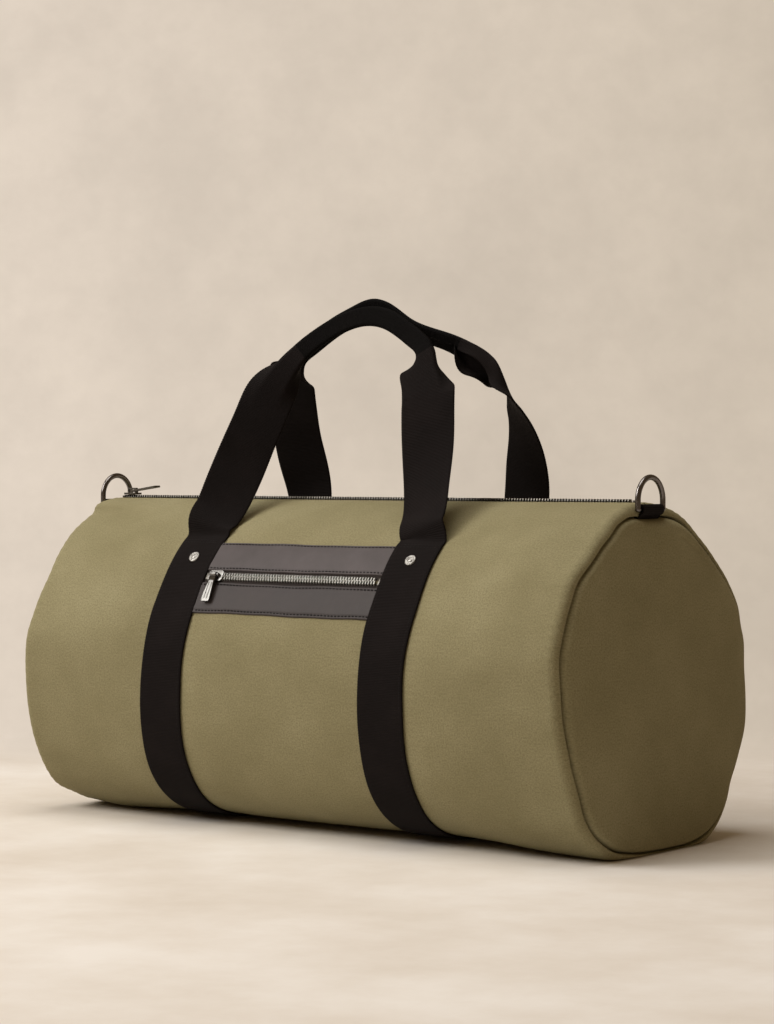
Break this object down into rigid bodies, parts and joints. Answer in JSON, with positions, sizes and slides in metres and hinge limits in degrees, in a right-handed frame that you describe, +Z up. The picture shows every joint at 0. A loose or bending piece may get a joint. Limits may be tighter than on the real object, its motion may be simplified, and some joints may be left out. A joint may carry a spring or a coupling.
{
  "type": "duffel bag",
  "caption": "Soft cylindrical canvas duffel with crowned ends, wrap-round webbing carry handles, a leather-faced zip pocket and a shoulder-strap ring on each end seam.",
  "frame": {"origin": "middle of the footprint on the ground, under the centre of the bag", "axes": "+X along the bag towards its right end, -Y towards the front face with the pocket, +Z up"},
  "size_m": [0.531, 0.2434, 0.3938],
  "materials": {
    "canvas": "matt plain-weave canvas, olive khaki",
    "webbing": "matt ribbed webbing, near black",
    "leather": "satin dark brown leather",
    "pouch_cloth": "thin pocketing cloth",
    "zip_tape": "dark woven zip tape",
    "zip_metal": "antique silver zip metal",
    "silver_metal": "brushed silver",
    "ring_metal": "polished gunmetal"
  },
  "bodies": {
    "bag": {"main_panel": "canvas", "end_panel_left": "canvas", "end_panel_right": "canvas", "main_zip_tape_front": "zip_tape", "main_zip_tape_rear": "zip_tape", "main_zip_teeth_front": "zip_metal", "main_zip_teeth_rear": "zip_metal", "main_zip_stops": "zip_metal", "strap_left": "webbing", "strap_right": "webbing", "rivet_caps": "silver_metal", "rivet_backs": "silver_metal", "pocket_leather_upper": "leather", "pocket_leather_lower": "leather", "pocket_zip_tape_upper": "zip_tape", "pocket_zip_tape_lower": "zip_tape", "pocket_zip_teeth_upper": "zip_metal", "pocket_zip_teeth_lower": "zip_metal", "pocket_zip_stops": "zip_metal", "pocket_bag": "pouch_cloth", "ring_tab_left": "webbing", "ring_tab_right": "webbing"},
    "front_handle": {"handle_front": "webbing"},
    "rear_handle": {"handle_rear": "webbing"},
    "ring_left": {"d_ring_left": "ring_metal"},
    "ring_right": {"d_ring_right": "ring_metal"},
    "main_slider": {"main_zip_slider": "zip_metal"},
    "main_pull": {"main_zip_pull": "silver_metal"},
    "pocket_slider": {"pocket_zip_slider": "zip_metal"},
    "pocket_pull": {"pocket_zip_pull": "silver_metal"}
  },
  "joints": [
    {"name": "front_handle_hinge", "type": "hinge", "parent": "bag", "child": "front_handle", "pos_m": [0, -0.07533, 0.21339], "axis": [1, 0, 0], "range_deg": [0, 130]},
    {"name": "rear_handle_hinge", "type": "hinge", "parent": "bag", "child": "rear_handle", "pos_m": [0, 0.05686, 0.21335], "axis": [-1, 0, 0], "range_deg": [0, 130]},
    {"name": "ring_left_swing", "type": "hinge", "parent": "bag", "child": "ring_left", "pos_m": [-0.2525, -0.0105, 0.2377], "axis": [0, -1, 0], "range_deg": [-25, 140]},
    {"name": "ring_right_swing", "type": "hinge", "parent": "bag", "child": "ring_right", "pos_m": [0.2525, -0.0105, 0.2377], "axis": [0, 1, 0], "range_deg": [-25, 140]},
    {"name": "main_zip_travel", "type": "slide", "parent": "bag", "child": "main_slider", "axis": [1, 0, 0], "range_m": [0, 0.445]},
    {"name": "main_pull_swing", "type": "hinge", "parent": "main_slider", "child": "main_pull", "pos_m": [-0.2352, -0.0105, 0.24745], "axis": [0, -1, 0], "range_deg": [-8, 112]},
    {"name": "pocket_zip_travel", "type": "slide", "parent": "bag", "child": "pocket_slider", "axis": [1, 0, 0], "range_m": [0, 0.136]},
    {"name": "pocket_pull_swing", "type": "hinge", "parent": "pocket_slider", "child": "pocket_pull", "pos_m": [-0.072, -0.09752, 0.18776], "axis": [-1, 0, 0], "range_deg": [0, 140]}
  ]
}
